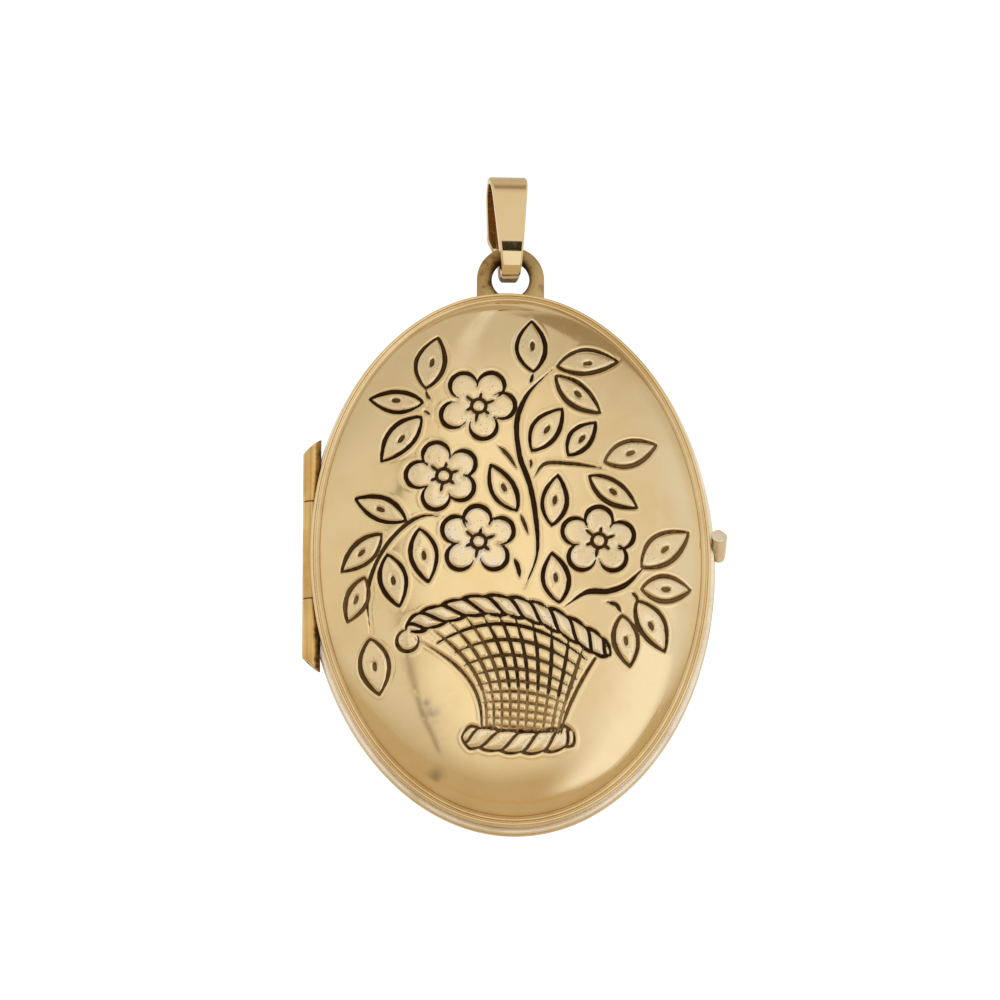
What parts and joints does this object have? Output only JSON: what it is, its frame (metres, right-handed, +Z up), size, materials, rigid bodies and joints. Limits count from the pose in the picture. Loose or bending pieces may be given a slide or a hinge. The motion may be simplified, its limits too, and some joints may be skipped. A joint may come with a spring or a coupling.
{
  "type": "locket pendant",
  "caption": "Oval hinged locket with a beaded rim, a picture frame inside each half, a thumb peg and a folded strap bail.",
  "frame": {"origin": "where a chain bears, at the inside top of the bail", "axes": "+Z up along the hanging locket, +X to the right seen from the front, the front cover faces -Y"},
  "size_m": [0.028, 0.0061, 0.0449],
  "materials": {
    "polished_gold": "polished",
    "worn_gold": "worn satin",
    "acetate": "clear",
    "print_paper": "matte",
    "card": "matte"
  },
  "bodies": {
    "bail": {"bail_strap": "polished_gold"},
    "back_half": {"back_cover": "polished_gold", "back_rim": "worn_gold", "back_snap_collar": "polished_gold", "snap_ridge": "polished_gold", "back_photo_frame": "polished_gold", "back_photo_window": "acetate", "back_photo_print": "print_paper", "back_backing_card": "card", "hinge_knuckle_lower": "worn_gold", "hinge_knuckle_upper": "worn_gold", "hinge_pin": "worn_gold", "thumb_peg": "polished_gold", "suspension_loop": "worn_gold"},
    "front_half": {"front_cover": "polished_gold", "front_rim": "worn_gold", "front_photo_frame": "polished_gold", "front_photo_window": "acetate", "front_photo_print": "print_paper", "front_backing_card": "card", "hinge_knuckle_middle": "worn_gold"}
  },
  "joints": [
    {"name": "bail_swing", "type": "hinge", "parent": "bail", "child": "back_half", "pos_m": [0, 0, -0.0049], "axis": [1, 0, 0], "range_deg": [-75, 75]},
    {"name": "cover_hinge", "type": "hinge", "parent": "back_half", "child": "front_half", "pos_m": [-0.01313, -0.00053, 0], "axis": [0, 0, -1], "range_deg": [0, 130]}
  ]
}
